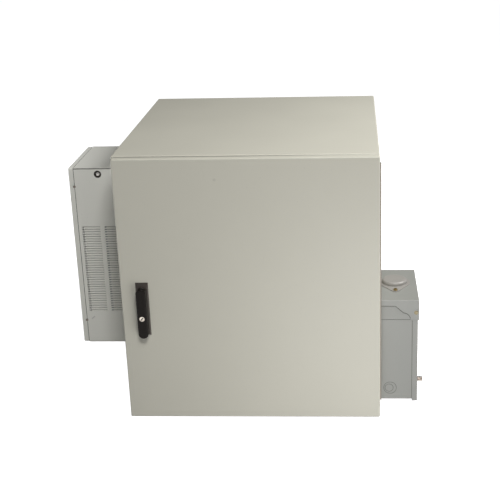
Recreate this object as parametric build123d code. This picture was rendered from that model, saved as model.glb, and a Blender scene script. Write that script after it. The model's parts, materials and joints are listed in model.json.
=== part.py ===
from build123d import *
import os

# Pole-mount equipment cabinet with a side cooling unit and a rainproof load centre.
# Millimetres, +Z up, origin at the centre of the cabinet's base face.
# The door faces -Y, the pole is on the +Y side and the load centre is on the +X side.

# Shared stock and clearances
sheet = 2.0
thin_sheet = 1.5
fold = 4.0
slip = 0.3
run_fit = 0.05
cut_over = 5.0
screw_sides = 16

# Cabinet body
body_width = 716.0
body_depth = 734.0
body_height = 767.0
cap_skirt = 10.0
flange_width = 28.0
lip_depth = 16.0

# Cable entry in the base
entry_width = 260.0
entry_depth = 120.0
entry_margin = 20.0
entry_back_gap = 90.0
plug_radius = 22.0
plug_lip = 4.0
plug_height = 9.0
plug_pitch = 80.0
plug_count = 3

# Equipment rails
rail_pitch = 465.0
rail_face = 24.0
rail_depth = 40.0
rail_front_gap = 90.0
rail_hole = 9.5
rail_group_pitch = 44.45
rail_hole_step = 15.875
rail_group_count = 12
rail_first_hole = 110.0

# Ground bar on the back wall
ground_bar_length = 300.0
ground_bar_height = 25.0
ground_bar_thick = 6.0
ground_bar_level = 150.0
standoff_radius = 9.0
standoff_length = 25.0
standoff_inset = 25.0
ground_screw_radius = 4.0
ground_screw_head = 4.0
ground_screw_count = 6

# Pole brackets on the back
bracket_length = 420.0
bracket_height = 80.0
bracket_depth = 46.0
bracket_plate = 4.0
bracket_foot = 26.0
bracket_spacing = 500.0
bracket_rise = 6.5
pole_hole_radius = 8.75
strap_slot_width = 6.0
strap_slot_height = 46.0
strap_slot_reach = 70.0
bracket_bolt_radius = 5.0
bracket_bolt_head = 8.5
bracket_bolt_head_height = 6.5
bracket_bolt_inset = 40.0
bracket_bolt_grip = 14.0

# Door
door_reveal = 5.0
door_head = 2.0
door_depth = 26.0
door_gap = 2.0
door_sill = 3.0
gasket_width = 14.0
stiffener_width = 60.0
stiffener_depth = 12.0
stiffener_end_gap = 81.0
stiffener_reach = 120.0
stiffener_brim = 12.0

# Continuous hinge
knuckle_radius = 3.0
knuckle_proud = 4.0
hinge_pin_radius = 1.5
hinge_leaf = 1.2
hinge_leaf_width = 22.0
hinge_end_gap = 44.0
hinge_head_gap = 22.0
knuckle_count = 10

# Swing handle
handle_x = -293.5
dish_drop = 132.0
dish_width = 35.0
dish_length = 155.5
dish_proud = 5.0
dish_bevel = 3.0
dish_end_bevel = 13.0
dish_base = 1.5
lever_width = 27.5
lever_length = 147.0
lever_thick = 19.5
lever_face = 28.0
lever_round = 4.0
lever_relief = 9.0
spindle_level = 392.5
spindle_radius = 7.0
spindle_collar = 10.0
spindle_collar_height = 1.0
spindle_square = 8.0
lug_width = 10.0
lug_radius = 3.7
lever_slot = 17.0
lever_skin = 3.0
lever_pin_radius = 2.0
lever_pin_length = 20.0
lock_radius = 7.0
lock_proud = 1.0
lock_drop = 73.0
key_slot_width = 1.6
key_slot_length = 8.0
key_slot_depth = 3.0

# Latch behind the handle
latch_box_width = 46.0
latch_box_height = 62.0
latch_box_depth = 8.5
cam_radius = 22.0
cam_thick = 3.0
cam_throw = 14.0
cam_pin_radius = 3.0
cam_pin_over = 0.7
rod_width = 14.0
rod_thick = 3.0
rod_gap = 1.0
rod_head_wall = 4.0
rod_slot_play = 3.4
rod_end_gap = 1.5
guide_wall = 2.5
guide_length = 14.0
guide_inset = 60.0

# Cooling unit on the left wall
cooler_reach = 185.0
cooler_width = 250.0
cooler_height = 554.5
cooler_drop = 97.0
cooler_front = 262.0
cooler_gasket = 4.0
cooler_gasket_width = 18.0
cooler_fold = 2.0
lid_skirt = 14.7
lid_seam = 1.5
panel_seam = 1.0
panel_flange = 14.0
slot_rows = 36
slot_columns = 2
slot_pitch = 7.63
slot_height = 3.4
slot_length = 55.0
slot_column_pitch = 67.8
slot_first_drop = 182.3
slot_first_inset = 53.1
louvre_depth = 4.0
louvre_open_end = 6.5
port_radius = 11.0
port_inset = 86.5
port_drop = 19.5
port_bush_wall = 3.0
port_bush_proud = 0.8
port_bush_length = 9.0
port_bolt_radius = 4.5
port_bolt_head = 3.0
lid_corner = 6.0
lid_screw_radius = 4.0
lid_screw_head = 2.0
lid_screw_shank = 1.8
lid_screw_length = 7.0
lid_screw_drop = 57.0
lid_screw_rise = 73.0

# Inside the cooling unit
divider_drop = 167.0
coil_depth = 34.0
coil_margin = 10.0
coil_side_gap = 10.0
coil_height = 290.0
coil_fin_gap = 3.0
coil_fin_cut = 5.0
coil_fin_count = 9
compressor_radius = 48.0
compressor_height = 150.0
compressor_dome = 16.0
compressor_foot = 10.0
compressor_inset = 58.0
fan_radius = 62.0
fan_hub_radius = 20.0
fan_depth = 26.0
fan_blades = 6
fan_blade_thick = 3.0
fan_blade_chord = 34.0
fan_blade_tilt = 35.0
fan_shaft_radius = 4.0
fan_shaft_entry = 12.0
fan_gap = 6.0
lower_fan_drop = 308.0
motor_radius = 32.0
motor_length = 42.0
motor_plate = 2.5
motor_arm_width = 24.0
air_port_width = 150.0
air_port_height = 46.0
supply_port_drop = 125.0
return_port_drop = 45.0

# Load centre on the right wall
centre_front = 86.0
centre_width = 237.5
centre_reach = 112.0
centre_low = 14.0
centre_height = 310.0
box_reach = 94.5
box_seam_drop = 60.0
box_seam_height = 1.6
box_seam_depth = 0.8
hood_sheet = 1.6
hood_rear_drop = 17.0
hood_front_drop = 61.5
hood_sweep_start = 45.5
hood_elbow = 68.5
hood_elbow_drop = 38.0
hood_shoulder = 80.0
hood_shoulder_drop = 42.0
hood_ear = 88.0
hood_ear_drop = 55.0
hood_lip = 27.0
hood_fold = 2.5
cover_face = 109.0
cover_hang = 5.0
cover_wrap = 15.0
pivot_reach = 103.5
pivot_drop = 37.2
cover_top_rise = 7.0
pivot_screw_radius = 2.5
pivot_head_radius = 6.0
pivot_head_height = 3.0
pivot_length = 9.0
knockout_reach = 31.0
knockout_rise = 35.0
knockout_radius = 19.0
knockout_inner_radius = 12.5
knockout_offset = 2.7
knockout_groove = 1.6
knockout_depth = 0.7
hasp_radius = 7.0
hasp_length = 16.0
hasp_hole_radius = 2.8
hasp_hole_reach = 6.0
hasp_end_bevel = 2.0
hasp_rise = 50.0
hasp_inset = 32.0
hub_reach = 47.8
hub_inset = 133.0
hub_plate = 2.0
hub_flange_radius = 45.0
hub_end_radius = 10.5
hub_hole_radius = 28.0
hub_dome_radius = 36.0
hub_dome_rise = 11.0
hub_dome_round = 7.0
hub_screw_reach = 62.0
hub_screw_radius = 5.5
hub_screw_shank = 2.0
hub_screw_head = 5.0
hub_screw_length = 8.0

# Inside the load centre
dead_front_reach = 84.0
dead_front_drop = 40.0
breaker_width = 25.4
breaker_height = 76.0
breaker_depth = 66.0
breaker_gap = 0.6
breaker_rise = 158.0
breaker_nose = 44.0
breaker_nose_depth = 6.0
toggle_width = 10.0
toggle_thick = 7.0
toggle_reach = 12.0
toggle_root = 5.0
toggle_pivot_depth = 3.0
toggle_pocket = 22.0
toggle_tie_radius = 2.0
toggle_tilt = 16.0
bus_bar_width = 12.0
bus_bar_thick = 12.0
bus_bar_length = 120.0
bus_bar_rise = 110.0
bus_bar_inset = 40.0
bus_hole_radius = 2.5
bus_hole_pitch = 16.0
bus_hole_count = 5
bus_foot = 14.0
bus_foot_length = 12.0
nipple_radius = 16.0
nipple_bore = 13.0
nipple_rise = 85.0
nipple_inset = 119.0
nipple_end = 12.0
locknut_radius = 23.0
locknut_thick = 5.0

# Places worked out from the sizes above
x_side = body_width / 2
y_front = -body_depth / 2
y_back = body_depth / 2
opening_x = x_side - flange_width
opening_low = flange_width
opening_high = body_height - flange_width
door_rear = y_front - door_gap
door_face = door_rear - door_depth
door_skin = door_face + thin_sheet
door_left = -x_side + door_reveal
door_low = door_sill
door_high = body_height - door_head
hinge_low = door_low + hinge_end_gap
hinge_length = door_high - hinge_head_gap - hinge_low
hinge_x = x_side + knuckle_proud - knuckle_radius
hinge_y = y_front - slip - knuckle_radius
lip_front = y_front - lip_depth
lever_out = door_face - lever_face
lever_in = lever_out + lever_thick
lever_axis_y = (lever_out + lever_in) / 2
lever_top = spindle_level + lever_width / 2
dish_top = door_face - dish_proud
dish_low = spindle_level - dish_drop
lock_level = spindle_level - lock_drop
cam_front = door_skin + latch_box_depth + rod_gap
cam_rear = cam_front + cam_thick
upper_rod_front = cam_rear + rod_gap
lower_rod_front = upper_rod_front + rod_thick + rod_gap
cooler_y0 = door_face + cooler_front
cooler_y1 = cooler_y0 + cooler_width
cooler_x0 = -x_side - cooler_reach
cooler_x1 = -x_side - cooler_gasket
cooler_high = body_height - cooler_drop
cooler_low = cooler_high - cooler_height
divider_level = cooler_high - divider_drop
lower_fan_level = cooler_high - lower_fan_drop
supply_port_level = cooler_high - supply_port_drop
return_port_level = cooler_high - return_port_drop
lid_inner = cooler_x0 + lid_skirt
lid_edge = lid_inner + lid_seam
cooler_mid_x = (cooler_x0 + cooler_x1) / 2
coil_y0 = cooler_y0 + 2 * thin_sheet + coil_side_gap
coil_y1 = coil_y0 + coil_depth
fan_y1 = coil_y1 + fan_gap + fan_depth
motor_y0 = fan_y1 + fan_gap
motor_y1 = motor_y0 + motor_length
upper_fan_level = (divider_level + cooler_high) / 2
centre_y0 = door_face + centre_front
centre_y1 = centre_y0 + centre_width
centre_high = centre_low + centre_height
box_seam_level = centre_high - box_seam_drop
pivot_level = centre_high - pivot_drop
knockout_level = centre_low + knockout_rise
hasp_level = centre_low + hasp_rise
breaker_level = centre_low + breaker_rise
bus_bar_level = centre_low + bus_bar_rise
nipple_level = centre_low + nipple_rise
hood_x = x_side + centre_reach
cover_x = x_side + cover_face
pivot_x = x_side + pivot_reach
box_x = x_side + box_reach
cover_y0 = centre_y0 + hood_sheet + slip
cover_y1 = centre_y1 - hood_sheet - slip
box_y0 = cover_y0 + thin_sheet + slip
box_y1 = cover_y1 - thin_sheet - slip
box_top = centre_high - hood_sheet
centre_mid_y = (centre_y0 + centre_y1) / 2
dead_front_x = x_side + dead_front_reach
breaker_face = dead_front_x + breaker_nose_depth
toggle_x = breaker_face - toggle_pivot_depth


def span(x, y, z):
    """A block between pairs of limits along X, Y and Z."""
    sizes = [high - low for low, high in (x, y, z)]
    middles = [(low + high) / 2 for low, high in (x, y, z)]
    return Pos(*middles) * Box(*sizes)


def about(middle, size):
    """The pair of limits of a size about its middle."""
    return (middle - size / 2, middle + size / 2)


def grown(limits, amount):
    """A pair of limits moved outwards by an amount."""
    return (limits[0] - amount, limits[1] + amount)


def bar(start, direction, radius, length):
    """A round bar that starts at a point and runs along a direction."""
    ends = (Align.CENTER, Align.CENTER, Align.MIN)
    return Plane(origin=start, z_dir=direction) * Cylinder(radius, length, align=ends)


def prism(points, plane, length):
    """A closed outline on a plane, extruded along the plane's normal."""
    return extrude(plane * make_face(Polyline(*points, close=True)), length)


def hexagon(start, direction, radius, height):
    """A hexagonal head that starts at a point and rises along a direction."""
    return extrude(Plane(origin=start, z_dir=direction) * RegularPolygon(radius, 6), height)


def stud(start, direction, radius, length):
    """A small round bar of a screw or bolt, drawn with flat sides."""
    return extrude(Plane(origin=start, z_dir=direction) * RegularPolygon(radius, screw_sides), length)


def edges_at(shape, axis, place):
    """The edges of a shape that lie in the plane at a place along an axis."""
    return shape.edges().filter_by_position(axis, place - run_fit, place + run_fit)


def make_body_wrap():
    """Left wall, back and right wall folded from one sheet, with front flanges and rain lips."""
    tall = (cap_skirt, body_height - cap_skirt)
    inside = x_side - sheet
    wrap = span((-x_side, x_side), (y_front, y_back), tall)
    wrap = fillet(wrap.edges().filter_by(Axis.Z), fold)
    hollow = span((-inside, inside), (y_front + sheet, y_back - sheet), grown(tall, cut_over))
    hollow = fillet(hollow.edges().filter_by(Axis.Z), fold - sheet)
    wrap -= hollow
    wrap -= span((-opening_x, opening_x), (y_front - cut_over, y_front + fold), grown(tall, cut_over))
    for x in (-opening_x, opening_x - sheet):
        wrap += span((x, x + sheet), (lip_front, y_front + sheet), (opening_low, opening_high))
    for level in (supply_port_level, return_port_level):
        wrap -= air_port(-x_side, level)
    wrap -= bar((x_side - sheet - cut_over, centre_y0 + nipple_inset, nipple_level), (1, 0, 0),
                nipple_radius + slip, sheet + 2 * cut_over)
    for bolt in bracket_bolt_places():
        wrap -= bar((bolt.X, y_back - sheet - cut_over, bolt.Z), (0, 1, 0),
                    bracket_bolt_radius + slip, sheet + 2 * cut_over)
    return wrap


def air_port(x, level):
    """The block that cuts one air port of the cooling unit through an upright sheet at x."""
    middle = (cooler_y0 + cooler_y1) / 2
    return span((x - cut_over, x + cut_over), about(middle, air_port_width), about(level, air_port_height))


def make_cap(outer_low, outer_high):
    """A shallow pan that closes the wrap, before its front flange and lip are added."""
    tall = (min(outer_low, outer_high), max(outer_low, outer_high))
    inside = x_side - sheet
    pan = span((-x_side, x_side), (y_front, y_back), tall)
    pan = fillet(pan.edges().filter_by(Axis.Z), fold)
    pan = fillet(edges_at(pan, Axis.Z, outer_high), fold - run_fit)
    inner_high = outer_high - sheet if outer_high > outer_low else outer_high + sheet
    far = outer_low - cut_over if outer_high > outer_low else outer_low + cut_over
    hollow = span((-inside, inside), (y_front + sheet, y_back - sheet),
                  (min(inner_high, far), max(inner_high, far)))
    hollow = fillet(hollow.edges().filter_by(Axis.Z), fold - sheet)
    return pan - hollow


def make_top_panel():
    """Top pan with the upper flange of the door opening and its rain lip."""
    clear_x = opening_x - sheet
    skirt_low = body_height - cap_skirt
    panel = make_cap(skirt_low, body_height)
    panel += span((-clear_x, clear_x), (y_front, y_front + sheet), (opening_high - sheet, skirt_low))
    panel += span((-clear_x, clear_x), (lip_front, y_front + sheet), (opening_high - sheet, opening_high))
    return panel


def make_base_panel():
    """Base pan with the sill flange, its rain lip and the cable entry hole."""
    clear_x = opening_x - sheet
    panel = make_cap(cap_skirt, 0)
    panel += span((-clear_x, clear_x), (y_front, y_front + sheet), (cap_skirt, opening_low + sheet))
    panel += span((-clear_x, clear_x), (lip_front, y_front + sheet), (opening_low, opening_low + sheet))
    return panel - span(about(0, entry_width), entry_limits(), (-cut_over, sheet + cut_over))


def entry_limits():
    """Front and rear edge of the cable entry hole."""
    return (y_back - entry_back_gap - entry_depth, y_back - entry_back_gap)


def plug_places():
    """Centres of the hole plugs on top of the entry plate."""
    middle = sum(entry_limits()) / 2
    first = -plug_pitch * (plug_count - 1) / 2
    return [Vector(first + plug_pitch * i, middle, 2 * sheet) for i in range(plug_count)]


def make_entry_plate():
    """Removable plate over the cable entry hole."""
    plate = span(grown(about(0, entry_width), entry_margin), grown(entry_limits(), entry_margin),
                 (sheet, 2 * sheet))
    for place in plug_places():
        plate -= bar(place - Vector(0, 0, sheet + cut_over), (0, 0, 1), plug_radius, sheet + 2 * cut_over)
    return plate


def make_hole_plugs():
    """Domed plugs that close the cable holes until cables are pulled."""
    plugs = []
    for place in plug_places():
        brim = bar(place, (0, 0, 1), plug_radius + plug_lip, plug_height - sheet)
        brim = chamfer(edges_at(brim, Axis.Z, place.Z + plug_height - sheet), plug_lip)
        stem = bar(place - Vector(0, 0, sheet), (0, 0, 1), plug_radius - slip, sheet)
        plugs.append(brim + stem)
    return Compound(plugs)


def make_rail(side):
    """An upright angle with square holes at the rack pitch, standing from base to top."""
    face_y = y_front + rail_front_gap
    low, high = sheet, body_height - sheet
    hole_x = side * rail_pitch / 2
    outer = hole_x + side * rail_face / 2
    inner = hole_x - side * rail_face / 2
    rail = span(sorted((outer, inner)), (face_y, face_y + sheet), (low, high))
    rail += span(sorted((outer, outer - side * sheet)), (face_y, face_y + rail_depth), (low, high))
    for z in (low, high - sheet):
        rail += span(sorted((outer, inner)), (face_y, face_y + rail_depth), (z, z + sheet))
    holes = []
    for group in range(rail_group_count):
        for step in range(3):
            level = rail_first_hole + group * rail_group_pitch + step * rail_hole_step
            holes.append(span(about(hole_x, rail_hole), (face_y - cut_over, face_y + sheet + cut_over),
                              about(level, rail_hole)))
    return rail - holes


def standoff_places():
    """Where the ground bar's stand-offs meet the back wall."""
    reach = ground_bar_length / 2 - standoff_inset
    return [Vector(x, y_back - sheet, ground_bar_level) for x in (-reach, reach)]


def make_ground_bar():
    """Drilled copper bar for the equipment grounds."""
    rear = y_back - sheet - standoff_length
    strip = span(about(0, ground_bar_length), (rear - ground_bar_thick, rear),
                 about(ground_bar_level, ground_bar_height))
    for place in ground_screw_places():
        strip -= bar(place - Vector(0, cut_over, 0), (0, 1, 0), ground_screw_radius + run_fit,
                     ground_bar_thick + 2 * cut_over)
    return strip


def ground_screw_places():
    """Screw centres on the front face of the ground bar."""
    face = y_back - sheet - standoff_length - ground_bar_thick
    pitch = (ground_bar_length - 4 * standoff_inset) / (ground_screw_count - 1)
    first = -pitch * (ground_screw_count - 1) / 2
    return [Vector(first + pitch * i, face, ground_bar_level) for i in range(ground_screw_count)]


def make_standoffs():
    """Insulators that hold the ground bar off the back wall."""
    return Compound([bar(place, (0, -1, 0), standoff_radius, standoff_length) for place in standoff_places()])


def make_ground_screws():
    """Hexagon screws waiting in the ground bar's holes."""
    screws = []
    for place in ground_screw_places():
        head = hexagon(place, (0, -1, 0), 2 * ground_screw_radius, ground_screw_head)
        screws.append(head + stud(place, (0, 1, 0), ground_screw_radius, ground_bar_thick))
    return Compound(screws)


def bracket_levels():
    """Heights of the lower and upper pole bracket."""
    return about(body_height / 2 + bracket_rise, bracket_spacing)


def bracket_bolt_places():
    """Where the bracket bolts pass through the back wall."""
    reach = bracket_height / 2 + bracket_foot / 2
    across = bracket_length / 2 - bracket_bolt_inset
    return [Vector(x, y_back, level + z) for level in bracket_levels()
            for x in (-across, across) for z in (-reach, reach)]


def make_pole_bracket(level):
    """A hat-section bracket with a through-bolt hole and slots for steel straps."""
    long = about(0, bracket_length)
    tall = about(level, bracket_height)
    far = y_back + bracket_depth
    bracket = span(long, (y_back, far), tall)
    bracket = fillet(edges_at(bracket, Axis.Y, far).filter_by(Axis.X), fold + bracket_plate)
    bracket -= span(grown(long, cut_over), (y_back - cut_over, far - bracket_plate), grown(tall, -bracket_plate))
    for z in (tall[0] - bracket_foot, tall[1]):
        bracket += span(long, (y_back, y_back + bracket_plate), (z, z + bracket_foot))
    bracket -= bar((0, far - bracket_plate - cut_over, level), (0, 1, 0), pole_hole_radius,
                   bracket_plate + 2 * cut_over)
    for x in (-strap_slot_reach, strap_slot_reach):
        bracket -= span(about(x, strap_slot_width), grown((far - bracket_plate, far), cut_over),
                        about(level, strap_slot_height))
    for bolt in bracket_bolt_places():
        bracket -= bar((bolt.X, y_back - cut_over, bolt.Z), (0, 1, 0), bracket_bolt_radius + slip,
                       bracket_plate + 2 * cut_over)
    return bracket


def make_bracket_bolts():
    """Hexagon bolts and nuts that clamp the brackets to the back wall."""
    bolts = []
    for place in bracket_bolt_places():
        seat = place + Vector(0, bracket_plate, 0)
        bolt = hexagon(seat, (0, 1, 0), bracket_bolt_head, bracket_bolt_head_height)
        bolt += stud(seat, (0, -1, 0), bracket_bolt_radius, bracket_bolt_grip)
        nut_seat = place - Vector(0, sheet, 0)
        bolts.append(bolt + hexagon(nut_seat, (0, -1, 0), bracket_bolt_head, bracket_bolt_head_height))
    return Compound(bolts)


def make_door_panel():
    """Full-face door folded as a pan, with its hinge side cut back for the knuckles."""
    panel = span((door_left, x_side), (door_face, door_rear), (door_low, door_high))
    panel = fillet(panel.edges().filter_by(Axis.Y), fold)
    panel = fillet(edges_at(panel, Axis.Y, door_face), fold - run_fit)
    hollow = span(grown((door_left, x_side), -thin_sheet), (door_skin, door_rear + cut_over),
                  grown((door_low, door_high), -thin_sheet))
    hollow = fillet(hollow.edges().filter_by(Axis.Y), fold - thin_sheet)
    panel -= hollow
    panel -= span((x_side - fold, x_side + cut_over), (hinge_y - knuckle_radius - slip, door_rear + cut_over),
                  grown((door_low, door_high), cut_over))
    return panel - bar((handle_x, door_face - cut_over, spindle_level), (0, 1, 0),
                       spindle_radius + slip, thin_sheet + 2 * cut_over)


def make_door_gasket():
    """Foam ring on the door's skin that meets the rain lip all round."""
    middle_x = opening_x - sheet / 2
    middle_z = (opening_low + sheet / 2, opening_high - sheet / 2)
    deep = (door_skin, lip_front - slip)
    half = gasket_width / 2
    ring = span(grown((-middle_x, middle_x), half), deep, grown(middle_z, half))
    ring = fillet(ring.edges().filter_by(Axis.Y), gasket_width)
    return ring - span(grown((-middle_x, middle_x), -half), grown(deep, cut_over), grown(middle_z, -half))


def make_door_stiffener(x):
    """An upright hat channel spot-welded inside the door."""
    tall = grown((door_low, door_high), -stiffener_end_gap)
    crest = stiffener_width / 2 - stiffener_brim
    channel = span(about(x, stiffener_width), (door_skin, door_skin + thin_sheet), tall)
    channel += span((x - crest, x + crest), (door_skin, door_skin + stiffener_depth), tall)
    return channel - span((x - crest + thin_sheet, x + crest - thin_sheet),
                          (door_skin - cut_over, door_skin + stiffener_depth - thin_sheet), grown(tall, cut_over))


def knuckle_limits(owner):
    """Height limits of every second knuckle, from 0 for the body leaf or 1 for the door leaf."""
    pitch = hinge_length / knuckle_count
    lows = [hinge_low + pitch * i for i in range(owner, knuckle_count, 2)]
    return [(low + slip / 2, low + pitch - slip / 2) for low in lows]


def add_knuckles(leaf, owner):
    """Clear a leaf of the other leaf's knuckles, then roll its own round the pin."""
    for low, high in knuckle_limits(1 - owner):
        leaf -= bar((hinge_x, hinge_y, low - slip), (0, 0, 1), knuckle_radius + slip, high - low + 2 * slip)
    for low, high in knuckle_limits(owner):
        leaf += bar((hinge_x, hinge_y, low), (0, 0, 1), knuckle_radius, high - low)
    return leaf - bar((hinge_x, hinge_y, hinge_low - cut_over), (0, 0, 1),
                      hinge_pin_radius + run_fit, hinge_length + 2 * cut_over)


def make_hinge_body_leaf():
    """Hinge leaf on the front flange of the cabinet."""
    tall = (hinge_low, hinge_low + hinge_length)
    leaf = span((x_side - hinge_leaf_width, x_side), (y_front - hinge_leaf, y_front), tall)
    return add_knuckles(leaf, 0)


def make_hinge_door_leaf():
    """Hinge leaf on the inside of the door's right return."""
    tall = (hinge_low, hinge_low + hinge_length)
    inner = x_side - thin_sheet
    front = hinge_y - knuckle_radius
    leaf = span((inner - hinge_leaf, inner), (door_skin + fold, front + hinge_leaf), tall)
    leaf += span((inner - hinge_leaf, hinge_x), (front, front + hinge_leaf), tall)
    return add_knuckles(leaf, 1)


def make_hinge_pin():
    """Full-length hinge wire."""
    return bar((hinge_x, hinge_y, hinge_low), (0, 0, 1), hinge_pin_radius, hinge_length)


def make_handle_dish():
    """Bevelled mounting dish of the swing handle, steeper at its top end."""
    tall = (dish_low, dish_low + dish_length)
    brow = door_face - dish_base
    dish = span(about(handle_x, dish_width), (brow, door_face), tall)
    middle = Plane(origin=(handle_x, brow, sum(tall) / 2), x_dir=(1, 0, 0), z_dir=(0, -1, 0))
    shift = (dish_bevel - dish_end_bevel) / 2
    crown = middle.offset(dish_proud - dish_base) * Pos(0, shift) * Rectangle(
        dish_width - 2 * dish_bevel, dish_length - dish_bevel - dish_end_bevel)
    dish += loft([(middle * Rectangle(dish_width, dish_length)).face(), crown.face()])
    return dish - bar((handle_x, dish_top - cut_over, spindle_level), (0, 1, 0),
                      spindle_radius + run_fit, dish_proud + 2 * cut_over)


def make_lever():
    """Swing lever: a rounded bar slotted at the back for the spindle lug, bored for the lock."""
    low = lever_top - lever_length
    radius = lever_width / 2
    lever = span(about(handle_x, lever_width), (lever_out, lever_in), (low, lever_top))
    lever = fillet(lever.edges().filter_by(Axis.Y), radius - run_fit)
    lever = fillet(edges_at(lever, Axis.Y, lever_out), lever_round)
    lever -= span(about(handle_x, lug_width + 2 * slip), (lever_out + lever_skin, lever_in + cut_over),
                  about(spindle_level, lever_slot))
    corner = [(lever_in + slip, lever_top - lever_relief - slip), (lever_in + slip, lever_top + slip),
              (lever_in - lever_relief - slip, lever_top + slip)]
    lever -= prism(corner, Plane.YZ.offset(handle_x - lever_width), 2 * lever_width)
    lever -= bar((handle_x - lever_pin_length / 2, lever_axis_y, spindle_level), (1, 0, 0),
                 lever_pin_radius + run_fit, lever_pin_length)
    return lever - bar((handle_x, lever_out - cut_over, lock_level), (0, 1, 0), lock_radius + run_fit,
                       lever_thick + 2 * cut_over)


def make_lever_pin():
    """Cross pin on which the lever lifts."""
    return bar((handle_x - lever_pin_length / 2, lever_axis_y, spindle_level), (1, 0, 0),
               lever_pin_radius, lever_pin_length)


def make_spindle():
    """Spindle with a collar on the dish, a lug for the lever and a square end for the cam."""
    seat = dish_top - slip
    spindle = bar((handle_x, seat, spindle_level), (0, 1, 0), spindle_radius, cam_front - seat)
    spindle += bar((handle_x, seat, spindle_level), (0, -1, 0), spindle_collar, spindle_collar_height)
    spindle += span(about(handle_x, lug_width), (lever_axis_y, seat), about(spindle_level, 2 * lug_radius))
    spindle += bar((handle_x - lug_width / 2, lever_axis_y, spindle_level), (1, 0, 0), lug_radius, lug_width)
    spindle += span(about(handle_x, spindle_square), (cam_front, cam_rear), about(spindle_level, spindle_square))
    return spindle - bar((handle_x - lug_width, lever_axis_y, spindle_level), (1, 0, 0),
                         lever_pin_radius + run_fit, 2 * lug_width)


def make_lock_cylinder():
    """Key cylinder with its keyway."""
    front = lever_out - lock_proud
    plug = bar((handle_x, front, lock_level), (0, 1, 0), lock_radius, lever_in - front)
    plug -= span(about(handle_x, key_slot_width), (front - cut_over, front + key_slot_depth),
                 about(lock_level, key_slot_length))
    return plug


def make_latch_housing():
    """Bearing block behind the door skin."""
    block = span(about(handle_x, latch_box_width), (door_skin, door_skin + latch_box_depth),
                 about(spindle_level, latch_box_height))
    block = fillet(block.edges().filter_by(Axis.Y), fold)
    return block - bar((handle_x, door_skin - cut_over, spindle_level), (0, 1, 0), spindle_radius + run_fit,
                       latch_box_depth + 2 * cut_over)


def make_latch_cam():
    """Cam disc with one short pin for the upper rod and one long pin for the lower rod."""
    cam = bar((handle_x, cam_front, spindle_level), (0, 1, 0), cam_radius, cam_thick)
    hole = spindle_square + 2 * run_fit
    cam -= span(about(handle_x, hole), grown((cam_front, cam_rear), cut_over), about(spindle_level, hole))
    for throw, rod_plane in ((cam_throw, upper_rod_front), (-cam_throw, lower_rod_front)):
        length = rod_plane + rod_thick + cam_pin_over - cam_rear
        cam += bar((handle_x, cam_rear, spindle_level + throw), (0, 1, 0), cam_pin_radius, length)
    return cam


def make_latch_rod(way):
    """A flat latch rod, upwards for way 1 or downwards for way -1, with a slotted head round its cam pin."""
    front = upper_rod_front if way > 0 else lower_rod_front
    deep = (front, front + rod_thick)
    pin_level = spindle_level + way * cam_throw
    slot_half = cam_pin_radius + rod_slot_play
    head_half = slot_half + rod_head_wall
    slot_far = cam_throw + cam_pin_radius + rod_gap
    end = opening_high - sheet - rod_end_gap if way > 0 else opening_low + sheet + rod_end_gap
    rod = span(about(handle_x, rod_width), deep, sorted((pin_level, end)))
    near_x = handle_x + way * rod_width / 2
    far_x = handle_x - way * (slot_far + rod_head_wall)
    rod += span(sorted((near_x, far_x)), deep, about(pin_level, 2 * head_half))
    slot_near = handle_x + way * (cam_pin_radius + rod_gap / 2)
    return rod - span(sorted((slot_near, handle_x - way * slot_far)), grown(deep, cut_over),
                      about(pin_level, 2 * slot_half))


def make_rod_guides():
    """Moulded guides that hold the rods to the door."""
    half_box = latch_box_height / 2 + guide_inset
    places = [(opening_high - 2 * guide_inset, upper_rod_front), (spindle_level + half_box, upper_rod_front),
              (spindle_level - half_box, lower_rod_front), (opening_low + 2 * guide_inset, lower_rod_front)]
    guides = []
    for level, front in places:
        tall = about(level, guide_length)
        width = about(handle_x, rod_width + 2 * slip)
        deep = (front - slip, front + rod_thick + slip)
        guide = span(grown(width, guide_wall), (door_skin, deep[1] + guide_wall), tall)
        guides.append(guide - span(width, deep, grown(tall, cut_over)))
    return Compound(guides)


def make_cooler_gasket():
    """Foam ring between the cooling unit and the cabinet wall."""
    ring = span((cooler_x1, -x_side), (cooler_y0, cooler_y1), (cooler_low, cooler_high))
    return ring - span(grown((cooler_x1, -x_side), cut_over), grown((cooler_y0, cooler_y1), -cooler_gasket_width),
                       grown((cooler_low, cooler_high), -cooler_gasket_width))


def make_cooler_chassis():
    """Back, top and bottom of the cooling unit folded as one channel, with flanges for the lid."""
    deep = (cooler_y0, cooler_y1)
    tall = (cooler_low, cooler_high)
    chassis = span((lid_edge, cooler_x1), deep, tall)
    chassis -= span((lid_edge - cut_over, cooler_x1 - thin_sheet), grown(deep, cut_over), grown(tall, -thin_sheet))
    under_lid = (cooler_x0 + thin_sheet + slip, lid_edge + panel_flange)
    for low in (cooler_low + thin_sheet, cooler_high - 2 * thin_sheet):
        chassis += span(under_lid, grown(deep, -panel_flange), (low, low + thin_sheet))
    for level in (supply_port_level, return_port_level):
        chassis -= air_port(cooler_x1, level)
    return chassis


def lid_screw_levels():
    """Heights of the screws along the lid's seam."""
    return (cooler_low + lid_screw_rise, cooler_high - lid_screw_drop)


def cut_screw_holes(shape):
    """Clear the lid screws through a lid or side panel."""
    for level in lid_screw_levels():
        shape -= bar((lid_inner, cooler_y0 - cut_over, level), (0, 1, 0), lid_screw_shank + slip,
                     cooler_width + 2 * cut_over)
    return shape


def make_louvre_blade(wide, face, way, tall):
    """One louvre blade that leans inwards from the lower edge of its slot."""
    deep = face + way * louvre_depth
    low, high = tall
    section = [(face, low), (deep, high), (deep, high - thin_sheet), (face, low - thin_sheet)]
    return prism(section, Plane.YZ.offset(wide[0]), wide[1] - wide[0])


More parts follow.
